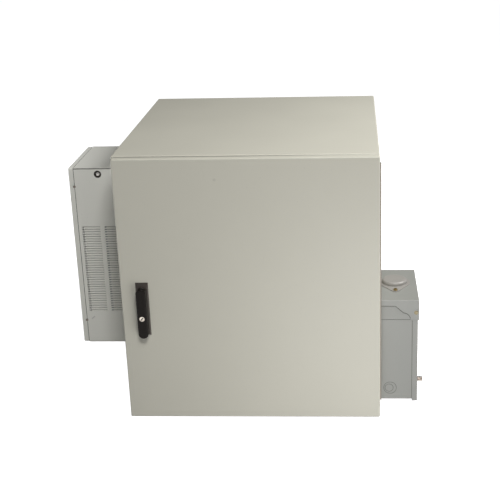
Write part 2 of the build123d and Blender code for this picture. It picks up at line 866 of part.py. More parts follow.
def make_cooler_side(way):
    """A louvred side of the cooling unit: the front for way 1, the rear for way -1.

    Each slot has a blade lanced inwards from its lower edge and torn free at its outer end.
    """
    face = cooler_y0 if way > 0 else cooler_y1
    inner = face + way * thin_sheet
    tall = grown((cooler_low, cooler_high), -thin_sheet - panel_seam)
    side = span((lid_edge, cooler_x1 - thin_sheet), sorted((face, inner)), tall)
    side += span((cooler_x0 + thin_sheet + slip, lid_edge + panel_flange), sorted((inner, inner + way * thin_sheet)),
                 grown(tall, -lid_corner))
    side += span((cooler_x1 - 2 * thin_sheet, cooler_x1 - thin_sheet), sorted((face, face + way * panel_flange)), tall)
    slots = []
    blades = []
    for column in range(slot_columns):
        wide = about(cooler_x0 + slot_first_inset + column * slot_column_pitch, slot_length)
        for row in range(slot_rows):
            tall = about(cooler_high - slot_first_drop - row * slot_pitch, slot_height)
            slots.append(span(wide, grown(sorted((face, inner)), cut_over), tall))
            blades.append(make_louvre_blade((wide[0] + louvre_open_end, wide[1] - slip), face, way, tall))
    side = cut_screw_holes(side - slots + blades)
    if way > 0:
        side -= bar((cooler_x0 + port_inset, face - cut_over, cooler_high - port_drop), (0, 1, 0),
                    port_radius, thin_sheet + 2 * cut_over)
    return side


def make_cooler_lid():
    """Outer cover pan with rounded corners and a bevelled rim."""
    deep = (cooler_y0, cooler_y1)
    tall = (cooler_low, cooler_high)
    lid = span((cooler_x0, lid_inner), deep, tall)
    lid = fillet(lid.edges().filter_by(Axis.X), lid_corner)
    lid = chamfer(edges_at(lid, Axis.X, cooler_x0), cooler_fold)
    hollow = span((cooler_x0 + thin_sheet, lid_inner + cut_over), grown(deep, -thin_sheet), grown(tall, -thin_sheet))
    hollow = fillet(hollow.edges().filter_by(Axis.X), lid_corner - thin_sheet)
    return cut_screw_holes(lid - hollow)


def make_lid_screws():
    """Pan-head screws on the lid's seam, two on each side."""
    screws = []
    for face, way in ((cooler_y0, 1), (cooler_y1, -1)):
        for level in lid_screw_levels():
            head = stud((lid_inner, face, level), (0, -way, 0), lid_screw_radius, lid_screw_head)
            head = chamfer(edges_at(head, Axis.Y, face - way * lid_screw_head), lid_screw_head / 2)
            screws.append(head + stud((lid_inner, face, level), (0, way, 0), lid_screw_shank, lid_screw_length))
    return Compound(screws)


def make_port_bush():
    """Recessed bush with a bolt at its bottom, in the port of the front side."""
    x = cooler_x0 + port_inset
    level = cooler_high - port_drop
    front = cooler_y0 - port_bush_proud
    bush = bar((x, front, level), (0, 1, 0), port_radius - run_fit, port_bush_length)
    bush -= bar((x, front, level), (0, 1, 0), port_radius - port_bush_wall, port_bush_length - thin_sheet)
    floor = front + port_bush_length - thin_sheet
    return bush + hexagon((x, floor, level), (0, -1, 0), port_bolt_radius, port_bolt_head)


def make_divider():
    """Shelf between the outdoor and the indoor air of the cooling unit."""
    return span((lid_edge + panel_flange, cooler_x1 - thin_sheet),
                grown((cooler_y0, cooler_y1), -panel_flange - slip), (divider_level, divider_level + thin_sheet))


def make_coil(low, high):
    """A coil block with its fins marked by upright grooves on both faces."""
    wide = (lid_edge + panel_flange + coil_margin, cooler_x1 - 2 * thin_sheet - coil_margin)
    coil = span(wide, (coil_y0, coil_y1), (low, high))
    pitch = (wide[1] - wide[0]) / (coil_fin_count + 1)
    grooves = []
    for i in range(coil_fin_count):
        x = wide[0] + pitch * (i + 1)
        for y in (coil_y0, coil_y1):
            grooves.append(span(about(x, coil_fin_gap), about(y, 2 * coil_fin_cut), grown((low, high), cut_over)))
    return coil - grooves


def make_compressor():
    """Hermetic compressor: a can with a bevelled crown on a foot plate."""
    base = Vector(cooler_mid_x, cooler_y1 - compressor_inset, cooler_low + thin_sheet)
    foot = span(about(base.X, 2 * compressor_radius), about(base.Y, 2 * compressor_radius - 2 * compressor_dome),
                (base.Z, base.Z + compressor_foot))
    can = bar(base + Vector(0, 0, compressor_foot), (0, 0, 1), compressor_radius, compressor_height)
    can = chamfer(edges_at(can, Axis.Z, base.Z + compressor_foot + compressor_height), compressor_dome)
    return foot + can


def make_fan(level):
    """Axial fan with tilted blades and the shaft that runs in its motor."""
    hub = Cylinder(fan_hub_radius, fan_depth)
    hub += Pos(0, 0, (fan_gap + fan_shaft_entry) / 2) * Cylinder(fan_shaft_radius,
                                                                 fan_depth + fan_gap + fan_shaft_entry)
    length = fan_radius - fan_hub_radius / 2
    blade = Pos(fan_radius - length / 2, 0, 0) * Rot(fan_blade_tilt, 0, 0) * Box(
        length, fan_blade_chord, fan_blade_thick)
    for i in range(fan_blades):
        hub += Rot(0, 0, i * 360 / fan_blades) * blade
    middle = (cooler_mid_x, fan_y1 - fan_depth / 2, level)
    return Plane(origin=middle, x_dir=(1, 0, 0), z_dir=(0, 1, 0)) * hub


def make_fan_motor(level, ceiling):
    """Fan motor on a hanger from the sheet above it."""
    motor = bar((cooler_mid_x, motor_y0, level), (0, 1, 0), motor_radius, motor_length)
    motor += span(about(cooler_mid_x, motor_arm_width), (motor_y1, motor_y1 + motor_plate),
                  (level - motor_radius, ceiling))
    return motor - bar((cooler_mid_x, motor_y0 - cut_over, level), (0, 1, 0), fan_shaft_radius + run_fit,
                       fan_shaft_entry + cut_over + slip)


def make_centre_box():
    """Load-centre box, open to the cover, with ring knockouts and a lapped seam on its sides."""
    deep = (box_y0, box_y1)
    tall = (centre_low, box_top)
    box = span((x_side, box_x), deep, tall)
    box -= span((x_side + thin_sheet, box_x + cut_over), grown(deep, -thin_sheet), grown(tall, -thin_sheet))
    box -= bar((x_side - cut_over, centre_y0 + nipple_inset, nipple_level), (1, 0, 0), nipple_radius + slip,
               thin_sheet + 2 * cut_over)
    for y in deep:
        box -= span((x_side - cut_over, x_side + hood_ear), about(y, 2 * box_seam_depth),
                    about(box_seam_level, box_seam_height))
        for radius, shift in ((knockout_radius, 0), (knockout_inner_radius, -knockout_offset)):
            place = (x_side + knockout_reach + shift, y - knockout_depth, knockout_level)
            ring = bar(place, (0, 1, 0), radius, 2 * knockout_depth)
            box -= ring - bar(place, (0, 1, 0), radius - knockout_groove, 2 * knockout_depth)
    return cut_hub_holes(box)


def make_centre_hood():
    """Rain hood over the box and the cover's top, with swept side flanges."""
    deep = (centre_y0, centre_y1)
    low = centre_high - hood_front_drop
    hood = span((x_side, hood_x), deep, (low, centre_high))
    top_edges = edges_at(hood, Axis.Z, centre_high)
    hood = fillet([edge for edge in top_edges if edge.center().X > x_side + run_fit], hood_fold)
    hood -= span((x_side - cut_over, hood_x - hood_sheet), grown(deep, -hood_sheet),
                 (low - cut_over, centre_high - hood_sheet))
    rear = centre_high - hood_rear_drop
    elbow = (x_side + hood_elbow, centre_high - hood_elbow_drop)
    shoulder = (x_side + hood_shoulder, centre_high - hood_shoulder_drop)
    ear = (x_side + hood_ear, centre_high - hood_ear_drop)
    under = low - cut_over
    outline = [Polyline(ear, (ear[0], under), (x_side - cut_over, under), (x_side - cut_over, rear),
                        (x_side + hood_sweep_start, rear), elbow), Spline(elbow, shoulder, ear)]
    side = Plane(origin=(0, centre_y1 + cut_over, 0), x_dir=(1, 0, 0), z_dir=(0, -1, 0))
    hood -= extrude(side * make_face(outline), centre_width + 2 * cut_over)
    hood -= span((hood_x - hood_sheet - slip, hood_x + cut_over), grown(deep, -hood_sheet),
                 (under, centre_high - hood_lip))
    return cut_pivot_holes(cut_hub_holes(hood))


def cut_hub_holes(shape):
    """Cut the conduit hole and the hub screw's hole through the top of a hood or box."""
    depth = hood_sheet + thin_sheet + 2 * cut_over
    hub = Vector(x_side + hub_reach, centre_y0 + hub_inset, centre_high + cut_over)
    shape -= bar(hub, (0, 0, -1), hub_hole_radius, depth)
    screw = hub - Vector(0, hub_screw_reach, 0)
    return shape - bar(screw, (0, 0, -1), hub_screw_shank + slip, depth)


def cut_pivot_holes(shape):
    """Bore a hood or cover for the pivot screws."""
    return shape - bar((pivot_x, centre_y0 - cut_over, pivot_level), (0, 1, 0), pivot_screw_radius + run_fit,
                       centre_width + 2 * cut_over)


def make_pivot_screws():
    """Shouldered screws at the sides of the hood that carry the cover."""
    screws = []
    for face, way in ((centre_y0, 1), (centre_y1, -1)):
        head = stud((pivot_x, face, pivot_level), (0, -way, 0), pivot_head_radius, pivot_head_height)
        head = chamfer(edges_at(head, Axis.Y, face - way * pivot_head_height), pivot_head_height / 2)
        screws.append(head + bar((pivot_x, face, pivot_level), (0, way, 0), pivot_screw_radius, pivot_length))
    return Compound(screws)


def make_centre_cover():
    """Lift-up cover: a pan hung on the pivot screws that wraps the box's front edge."""
    deep = (cover_y0, cover_y1)
    tall = (centre_low - cover_hang, pivot_level + cover_top_rise)
    rear = cover_x - cover_wrap
    cover = span((rear, cover_x), deep, tall)
    cover -= span((rear - cut_over, cover_x - thin_sheet), grown(deep, -thin_sheet),
                  (tall[0] + thin_sheet, tall[1] + cut_over))
    return cut_pivot_holes(cover)


def make_hasp_stud():
    """Padlock stud on the cover, cross-drilled from top to bottom."""
    y = centre_y0 + hasp_inset
    post = bar((cover_x, y, hasp_level), (1, 0, 0), hasp_radius, hasp_length)
    post = chamfer(edges_at(post, Axis.X, cover_x + hasp_length), hasp_end_bevel)
    return post - bar((cover_x + hasp_hole_reach, y, hasp_level - hasp_length), (0, 0, 1), hasp_hole_radius,
                      2 * hasp_length)


def hub_plane():
    """Plane on top of the hood at the hub's centre."""
    return Plane(origin=(x_side + hub_reach, centre_y0 + hub_inset, centre_high), x_dir=(1, 0, 0), z_dir=(0, 0, 1))


def make_hub_plate():
    """Closing plate over the hub hole: a round flange drawn to one ear, a pressed dome and a spigot below."""
    ear = Pos(0, -hub_screw_reach)
    rounds = Circle(hub_flange_radius).edges() + (ear * Circle(hub_end_radius)).edges()
    plate = extrude(make_hull(rounds), hub_plate)
    plate -= ear * Cylinder(hub_screw_shank + slip, 2 * hub_plate + cut_over)
    top = hub_plate + hub_dome_rise
    dome = bar((0, 0, 0), (0, 0, 1), hub_dome_radius, top)
    dome = fillet(edges_at(dome, Axis.Z, top), hub_dome_round)
    spigot = bar((0, 0, 0), (0, 0, -1), hub_hole_radius - slip, hood_sheet + thin_sheet)
    return hub_plane() * (plate + dome + spigot)


def make_hub_screws():
    """Hexagon screw at the ear of the hub plate."""
    seat = (0, -hub_screw_reach, hub_plate)
    head = Pos(*seat) * extrude(RegularPolygon(hub_screw_radius, 6), hub_screw_head)
    return hub_plane() * (head + stud(seat, (0, 0, -1), hub_screw_shank, hub_screw_length))


def breaker_middles():
    """Centres of the two breaker poles across the box."""
    return about(centre_mid_y, breaker_width + breaker_gap)


def make_dead_front():
    """Inner shield with a window for the breaker noses."""
    shield = span((dead_front_x, dead_front_x + thin_sheet), grown((box_y0, box_y1), -thin_sheet - slip),
                  (centre_low + thin_sheet + slip, pivot_level - dead_front_drop))
    window = 2 * breaker_width + breaker_gap + 2 * slip
    return shield - span(grown((dead_front_x, dead_front_x + thin_sheet), cut_over), about(centre_mid_y, window),
                         about(breaker_level, breaker_nose + 2 * slip))


def make_breaker_base():
    """Insulating base that the breakers plug on to."""
    wide = about(centre_mid_y, 2 * breaker_width + breaker_gap)
    base = span((x_side + thin_sheet, dead_front_x - breaker_depth), wide, about(breaker_level, breaker_height))
    return chamfer(edges_at(base, Axis.X, dead_front_x - breaker_depth), thin_sheet)


def make_breaker_cases():
    """Two breaker poles side by side, each with a toggle pocket in its nose."""
    cases = []
    for y in breaker_middles():
        case = span((dead_front_x - breaker_depth, dead_front_x), about(y, breaker_width),
                    about(breaker_level, breaker_height))
        case += span((dead_front_x, breaker_face), about(y, breaker_width), about(breaker_level, breaker_nose))
        pocket = toggle_x - toggle_root - slip
        case -= span((pocket, breaker_face + cut_over), about(y, toggle_width + 2 * slip),
                     about(breaker_level, toggle_pocket))
        cases.append(case)
    return Compound(cases)


def make_breaker_toggle():
    """Two paddles tied together, shown switched on."""
    toggle = None
    outer = toggle_x + toggle_pivot_depth + toggle_reach
    for y in breaker_middles():
        paddle = bar((toggle_x, y - toggle_width / 2, breaker_level), (0, 1, 0), toggle_root, toggle_width)
        paddle += span((toggle_x, outer), about(y, toggle_width), about(breaker_level, toggle_thick))
        toggle = paddle if toggle is None else toggle + paddle
    low, high = breaker_middles()
    toggle += bar((outer - 2 * toggle_tie_radius, low, breaker_level), (0, 1, 0), toggle_tie_radius, high - low)
    return toggle.rotate(Axis((toggle_x, centre_mid_y, breaker_level), (0, -1, 0)), toggle_tilt)


def make_terminal_bar(y):
    """A drilled terminal bar on two feet, for the neutral or the ground wires."""
    inner = x_side + thin_sheet
    tall = about(bus_bar_level, bus_bar_length)
    strip = span((inner + bus_foot, inner + bus_foot + bus_bar_thick), about(y, bus_bar_width), tall)
    for z in (tall[0], tall[1] - bus_foot_length):
        strip += span((inner, inner + bus_foot), about(y, bus_bar_width), (z, z + bus_foot_length))
    first = bus_bar_level - bus_hole_pitch * (bus_hole_count - 1) / 2
    for i in range(bus_hole_count):
        strip -= bar((inner + bus_foot, y, first + i * bus_hole_pitch), (1, 0, 0), bus_hole_radius,
                     bus_bar_thick + cut_over)
    return strip


def make_nipple():
    """Conduit nipple from the load centre into the cabinet."""
    start = x_side - sheet - nipple_end
    length = sheet + thin_sheet + 2 * nipple_end
    place = (start, centre_y0 + nipple_inset, nipple_level)
    return bar(place, (1, 0, 0), nipple_radius, length) - bar(place, (1, 0, 0), nipple_bore, length)


def make_locknuts():
    """Locknuts on both sides of the two walls."""
    nuts = []
    for start in (x_side - sheet - locknut_thick, x_side + thin_sheet):
        place = (start, centre_y0 + nipple_inset, nipple_level)
        nut = extrude(Plane(origin=place, z_dir=(1, 0, 0)) * RegularPolygon(locknut_radius, 8), locknut_thick)
        nuts.append(nut - bar(place, (1, 0, 0), nipple_radius + run_fit, locknut_thick))
    return Compound(nuts)


lower_bracket, upper_bracket = bracket_levels()
coil_top = cooler_high - thin_sheet - coil_margin
nodes = {
    "body_wrap": make_body_wrap(),
    "top_panel": make_top_panel(),
    "base_panel": make_base_panel(),
    "entry_plate": make_entry_plate(),
    "hole_plugs": make_hole_plugs(),
    "rack_rail_left": make_rail(-1),
    "rack_rail_right": make_rail(1),
    "ground_bar": make_ground_bar(),
    "ground_standoffs": make_standoffs(),
    "ground_screws": make_ground_screws(),
    "pole_bracket_lower": make_pole_bracket(lower_bracket),
    "pole_bracket_upper": make_pole_bracket(upper_bracket),
    "bracket_bolts": make_bracket_bolts(),
    "hinge_body_leaf": make_hinge_body_leaf(),
    "hinge_pin": make_hinge_pin(),
    "door_panel": make_door_panel(),
    "door_gasket": make_door_gasket(),
    "door_stiffener_left": make_door_stiffener(-stiffener_reach),
    "door_stiffener_right": make_door_stiffener(stiffener_reach),
    "hinge_door_leaf": make_hinge_door_leaf(),
    "handle_dish": make_handle_dish(),
    "latch_housing": make_latch_housing(),
    "rod_guides": make_rod_guides(),
    "handle_spindle": make_spindle(),
    "latch_cam": make_latch_cam(),
    "handle_lever": make_lever(),
    "lever_pin": make_lever_pin(),
    "lock_cylinder": make_lock_cylinder(),
    "latch_rod_upper": make_latch_rod(1),
    "latch_rod_lower": make_latch_rod(-1),
    "cooler_gasket": make_cooler_gasket(),
    "cooler_chassis": make_cooler_chassis(),
    "cooler_side_front": make_cooler_side(1),
    "cooler_side_rear": make_cooler_side(-1),
    "cooler_lid": make_cooler_lid(),
    "lid_screws": make_lid_screws(),
    "port_bush": make_port_bush(),
    "cooler_divider": make_divider(),
    "condenser_coil": make_coil(divider_level - coil_height, divider_level),
    "evaporator_coil": make_coil(divider_level + thin_sheet, coil_top),
    "compressor": make_compressor(),
    "condenser_fan": make_fan(lower_fan_level),
    "condenser_motor": make_fan_motor(lower_fan_level, divider_level),
    "evaporator_fan": make_fan(upper_fan_level),
    "evaporator_motor": make_fan_motor(upper_fan_level, cooler_high - thin_sheet),
    "centre_box": make_centre_box(),
    "centre_hood": make_centre_hood(),
    "pivot_screws": make_pivot_screws(),
    "hub_plate": make_hub_plate(),
    "hub_screws": make_hub_screws(),
    "centre_cover": make_centre_cover(),
    "hasp_stud": make_hasp_stud(),
    "dead_front": make_dead_front(),
    "breaker_base": make_breaker_base(),
    "breaker_cases": make_breaker_cases(),
    "breaker_toggle": make_breaker_toggle(),
    "neutral_bar": make_terminal_bar(box_y0 + bus_bar_inset),
    "earth_bar": make_terminal_bar(box_y1 - bus_bar_inset),
    "conduit_nipple": make_nipple(),
    "nipple_locknuts": make_locknuts(),
}

os.makedirs("parts", exist_ok=True)
for name, shape in nodes.items():
    export_step(shape, f"parts/{name}.step")
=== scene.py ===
import json
import math

import bpy
from mathutils import Matrix, Vector


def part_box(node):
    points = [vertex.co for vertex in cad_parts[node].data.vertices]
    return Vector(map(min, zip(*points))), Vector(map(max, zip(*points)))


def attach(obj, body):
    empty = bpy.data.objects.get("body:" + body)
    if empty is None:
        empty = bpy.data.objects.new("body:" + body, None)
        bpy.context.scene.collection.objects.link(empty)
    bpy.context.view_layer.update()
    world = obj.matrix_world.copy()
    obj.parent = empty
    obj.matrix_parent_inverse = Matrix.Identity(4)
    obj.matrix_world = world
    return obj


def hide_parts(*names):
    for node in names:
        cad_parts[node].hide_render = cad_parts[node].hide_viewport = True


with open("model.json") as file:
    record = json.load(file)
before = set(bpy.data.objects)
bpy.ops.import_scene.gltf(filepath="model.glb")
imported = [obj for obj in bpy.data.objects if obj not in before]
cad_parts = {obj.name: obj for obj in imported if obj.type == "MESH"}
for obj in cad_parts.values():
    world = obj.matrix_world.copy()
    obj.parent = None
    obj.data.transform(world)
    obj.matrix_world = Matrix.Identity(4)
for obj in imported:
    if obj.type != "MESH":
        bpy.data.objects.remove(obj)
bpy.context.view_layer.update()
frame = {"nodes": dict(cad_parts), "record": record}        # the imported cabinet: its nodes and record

MM = 0.001
RIGHT = Vector((1, 0, 0))
FRONT, BACK = Vector((0, -1, 0)), Vector((0, 1, 0))
DOWN, UP = Vector((0, 0, -1)), Vector((0, 0, 1))
ORIGIN = Vector((0, 0, 0))

# Paint and metal colours, as linear values
CABINET_GREY = (0.560, 0.545, 0.466)
COOLER_GREY = (0.800, 0.797, 0.735)
CENTRE_GREY = (0.276, 0.279, 0.259)
HUB_GREY = (0.297, 0.284, 0.263)
HANDLE_BLACK = (0.0085, 0.0068, 0.0055)
# The dish's brown is a lighter copy of the handle's black: painted light for the light its ramp catches
LIT_DISH_BROWN = (0.050, 0.042, 0.036)
RUBBER_BLACK = (0.012, 0.012, 0.012)
# Seal brown: the seal rubber's colour, also used for the painted shade in the gaps between panels
SEAL_AND_SHADE_BROWN = (0.040, 0.034, 0.026)
PLASTIC_BLACK = (0.020, 0.020, 0.021)
ENAMEL_BLACK = (0.010, 0.010, 0.010)
BRIGHT_ZINC = (0.380, 0.382, 0.378)
# Darkened steel: painted shade on the hinge and the lid screws
SHADE_DARKENED_STEEL = (0.210, 0.185, 0.160)
PORT_STEEL = (0.430, 0.415, 0.390)
GALVANISED = (0.470, 0.480, 0.490)
YELLOW_ZINC = (0.430, 0.325, 0.155)
# A darker copy of the yellow zinc: painted shade on the pivot screws
SHADED_PIVOT_ZINC = (0.205, 0.178, 0.118)
COPPER = (0.720, 0.360, 0.220)
NICKEL = (0.560, 0.505, 0.440)
STUD_NICKEL = (0.240, 0.200, 0.172)
ALUMINIUM = (0.640, 0.645, 0.650)
INSULATOR_RED = (0.300, 0.045, 0.030)
FLOOR_WHITE = (0.90, 0.90, 0.90)
FLOOR_NEAR_GLOW = (0.96, 0.96, 0.96)
FLOOR_FAR_GLOW = (0.98, 0.98, 0.98)

# Camera, solved from the edges of the door and the top in the 500 pixel photograph
PHOTO_SIZE = 500
FOCAL_PIXELS = 1035.0
CENTRE_PIXEL = (295.0, 213.2)
CAMERA_PLACE = (0.2858, -2.9997, 1.4718)
CAMERA_PITCH = math.radians(18.23)
CAMERA_YAW = math.radians(-3.37)
CAMERA_ROLL = math.radians(-1.53)
SENSOR_WIDTH = 36.0

# Studio: a wide floor inside a round backdrop, and soft lights by place, aim, size and power
SKY_GLOW = 0.026
STUDIO_RADIUS = 20.0
STUDIO_SPAN = 3 * STUDIO_RADIUS
WALL_SIDES = 96
GLOW_NEAR_EDGE, GLOW_FAR_EDGE = 0.8, 4.0
SOFTBOXES = {
    "key_softbox": ((0.42, -2.7, 2.8), (0.0, -0.3, 0.4), 0.7, 61.0),
    "right_softbox": ((1.7, -0.1, 2.3), (0.1, 0.0, 0.5), 1.2, 59.0),
    "floor_bounce": ((0.46, -1.2, 0.0), (0.24, -0.4, 0.22), 0.7, 4.8),
    "left_fill": ((-2.6, 0.5, 0.45), (-0.5, 0.0, 0.4), 0.5, 18.0),
    "back_fill": ((-0.3, 2.8, 0.45), (0.0, 0.4, 0.4), 0.5, 18.0),
}

# Paint gloss, and how dark specks, marks and the painted shade in hollows are against the paint
ENAMEL_GLOSS = 0.30
HUB_GLOSS = 0.28
SPECK_SHARE = 0.12
SPECK_SHADE, MARK_SHADE, HOLLOW_SHADE = 0.5, 0.15, 0.06

# Marks on the paint: the hand mark near the door's top and the scuffs below the front louvres
SMUDGE_ALONG, SMUDGE_DROP = 274.0 * MM, 58.4 * MM
SMUDGE_INNER, SMUDGE_OUTER, SMUDGE_SHARE = 1.5 * MM, 5.5 * MM, 0.16
SCUFF_COUNT = 4
SCUFF_ALONG, SCUFF_RISE = 30.0 * MM, 75.0 * MM
SCUFF_STEP_ALONG, SCUFF_STEP_UP = 2.4 * MM, 2.2 * MM
SCUFF_INNER, SCUFF_OUTER, SCUFF_SHARE = 0.8 * MM, 3.0 * MM, 0.30

# Painted shade in the gaps between panels: width and strength
BAND_SOFT = 0.2 * MM
DOOR_SHADE_BAND, DOOR_SHADE_BAND_SHARE = 7.0 * MM, 0.6
TOP_SHADE_BAND, TOP_SHADE_BAND_SHARE = 1.8 * MM, 0.8
COVER_SHADE_BAND, COVER_SHADE_BAND_SHARE = 1.6 * MM, 0.7

# Painted shade in hollows: the depths where it starts, is full and ends, and its strength
LOUVRE_SHADE = (0.4 * MM, 3.2 * MM, 20.0 * MM, 0.85)
GROOVE_SHADE = (0.2 * MM, 0.5 * MM, 1.1 * MM, 0.6)
HOLLOW_SHADE_FADE = 1.2
FROM_FRONT, FROM_BACK = 1.0, -1.0

# Modelling limits
FACING = 0.9
SAME_PLANE = 0.01 * MM
MERGE_GAP = 0.003 * MM
SHARP_ANGLE = math.radians(35)
TURNED_SIDES, FLANGE_SIDES, HEAD_SIDES, DRILL_SIDES, SHANK_SIDES, HEXAGON = 40, 32, 28, 24, 16, 6

# Cooling unit: the seal behind its lid and the port with its bolt
LID_SEAM = 1.5 * MM
LID_CORNER = 5.6 * MM
LID_CORNER_SEGMENTS = 6
SEAL_RECESS = 0.35 * MM
SEAL_WALL = 0.9 * MM
PORT_WALL = 2.4 * MM
PORT_DEPTH = 6.0 * MM
PORT_ROUND = 0.7 * MM
PORT_BOLT_RADIUS = 6.0 * MM
PORT_BOLT_HEAD = 3.0 * MM
PORT_BOLT_INSET, PORT_BOLT_CROWN = 1.2 * MM, 0.5 * MM
PORT_BOLT_ROUND = 0.3 * MM

# Lock: its rim, the keyway and the shutter that closes it
LOCK_RIM = 1.6 * MM
LOCK_RIM_HEIGHT = 0.7 * MM
LOCK_RIM_ROUND = 0.6 * MM
KEYWAY_WIDTH = 3.2 * MM
KEYWAY_LENGTH = 9.0 * MM
KEYWAY_DEPTH = 6.0 * MM
KEYWAY_TILT = math.radians(-40)
SHUTTER_SINK = 1.0 * MM
SHUTTER_GAP = 0.1 * MM
SHUTTER_LIP = 0.4 * MM

# Screws
LID_HEAD = 2.0 * MM
LID_HEAD_RADIUS = 4.0 * MM
LID_SHANK = 7.0 * MM
LID_SHANK_RADIUS = 1.8 * MM
PIVOT_HEAD = 3.0 * MM
PIVOT_SHANK = 9.0 * MM
PIVOT_SHANK_RADIUS = 2.5 * MM
HUB_HEAD = 5.0 * MM
HUB_HEAD_RADIUS = 5.5 * MM
HUB_SHANK_RADIUS = 2.0 * MM

# Shares of a screw head's radius and height; a step is an inset by radius and a rise by height
RIM_HEIGHT = 0.45
SHOULDER_STEP, CROWN_STEP = (0.20, 0.30), (0.28, 0.25)
DRIVE_REACH, DRIVE_HALF_WIDTH, DRIVE_DEPTH = 1.2, 0.13, 0.42
HEAD_ROUND = 0.04
FLANGE_RADIUS, FLANGE_HEIGHT = 1.25, 0.16
HEXAGON_HEIGHT, HEXAGON_STEP = 0.86, (0.12, 0.14)
HEXAGON_ROUND = 0.05

# Load centre: the dark strip of painted shade under its hood, and the padlock stud
HOOD_SHEET = 1.6 * MM
HOOD_SHADE_STRIP = 1.3 * MM
STRIP_SIDE_LIMIT, STRIP_DOWN_LIMIT = 0.2, 0.15
STUD_HOLE_REACH = 6.0 * MM
STUD_HOLE_RADIUS = 3.3 * MM
STUD_ROUND = 0.7 * MM


class Wire:
    """A value in a shader; sums and products of wires add Math nodes."""

    def __init__(self, finish, socket):
        self.finish = finish
        self.socket = socket

    def maths(self, operation, left, right):
        return self.finish.add("ShaderNodeMath", {"operation": operation}, {0: left, 1: right})

    def __add__(self, other):
        return self.maths("ADD", self, other)

    def __radd__(self, other):
        return self.maths("ADD", other, self)

    def __sub__(self, other):
        return self.maths("SUBTRACT", self, other)

    def __rsub__(self, other):
        return self.maths("SUBTRACT", other, self)

    def __mul__(self, other):
        return self.maths("MULTIPLY", self, other)

    def __rmul__(self, other):
        return self.maths("MULTIPLY", other, self)


class Finish:
    """A material in the making: one method adds any node, the rest are shorthands for it."""

    def __init__(self, name, **fixed):
        self.material = bpy.data.materials.new(name)
        self.material.use_nodes = True
        self.tree = self.material.node_tree
        self.shader = self.tree.nodes["Principled BSDF"]
        self.place = self.add("ShaderNodeTexCoord", output="Object")
        for socket, value in fixed.items():
            self.set(socket.replace("_", " ").title().replace("Ior", "IOR"), value)

    def add(self, kind, settings=None, inputs=None, output=0):
        """Add a node, set it up, join its inputs and return one of its outputs."""
        node = self.tree.nodes.new(kind)
        for key, value in (settings or {}).items():
            setattr(node, key, value)
        for key, value in (inputs or {}).items():
            self.join(value, node.inputs[key])
        return Wire(self, node.outputs[output])

    def join(self, value, socket):
        """Link a wire to a socket, or set the socket to a plain value."""
        if isinstance(value, Wire):
            self.tree.links.new(value.socket, socket)
        else:
            socket.default_value = value

    def set(self, socket, value):
        """Feed one socket of the surface shader."""
        if isinstance(value, tuple) and len(value) == 3:
            value = (*value, 1.0)
        self.join(value, self.shader.inputs[socket])

    def stretched(self, scale):
        """Object coordinates scaled on each axis."""
        return self.add("ShaderNodeMapping", None, {"Vector": self.place, "Scale": scale})

    def noise(self, scale, detail, place=None):
        """Cloudy noise, with about scale blobs to the metre."""
        inputs = {"Vector": place or self.place, "Scale": scale, "Detail": detail}
        return self.add("ShaderNodeTexNoise", None, inputs)

    def cells(self, scale, output="Distance"):
        """Cell pattern, with about scale cells to the metre."""
        return self.add("ShaderNodeTexVoronoi", None, {"Vector": self.place, "Scale": scale}, output)

    def ramp(self, value, low, high):
        """A value taken from 0 at low to 1 at high."""
        inputs = {"Value": value, "From Min": low, "From Max": high}
        return self.add("ShaderNodeMapRange", {"clamp": True}, inputs)

    def mix(self, share, first, second):
        """A blend of two colours."""
        first, second = (c if isinstance(c, Wire) else (*c, 1.0) for c in (first, second))
        return self.add("ShaderNodeMix", {"data_type": "RGBA"}, {0: share, 6: first, 7: second}, 2)

    def tint(self, share, colour, dark, light):
        """A colour that a pattern takes from a darker to a lighter shade of it."""
        return self.mix(share, shade(colour, dark), shade(colour, light))

    def spot(self, centre, inner, outer):
        """A soft round mark: 1 inside the inner radius about a point, 0 past the outer."""
        inputs = {0: self.place, 1: centre}
        away = self.add("ShaderNodeVectorMath", {"operation": "DISTANCE"}, inputs, "Value")
        return 1.0 - self.ramp(away, inner, outer)

    def along(self, axis):
        """Position along one axis."""
        return self.add("ShaderNodeSeparateXYZ", None, {0: self.place}, axis)

    def band(self, axis, low, high):
        """A stripe across an axis: 1 between two positions, 0 outside."""
        spot = self.along(axis)
        return self.ramp(spot, low - BAND_SOFT, low) * (1.0 - self.ramp(spot, high, high + BAND_SOFT))

    def bump(self, height, distance, strength):
        """Raise the surface by a height pattern."""
        inputs = {"Height": height, "Distance": distance, "Strength": strength}
        self.set("Normal", self.add("ShaderNodeBump", None, inputs))


def shade(colour, factor):
    """A colour made lighter or darker."""
    return tuple(min(channel * factor, 1.0) for channel in colour)


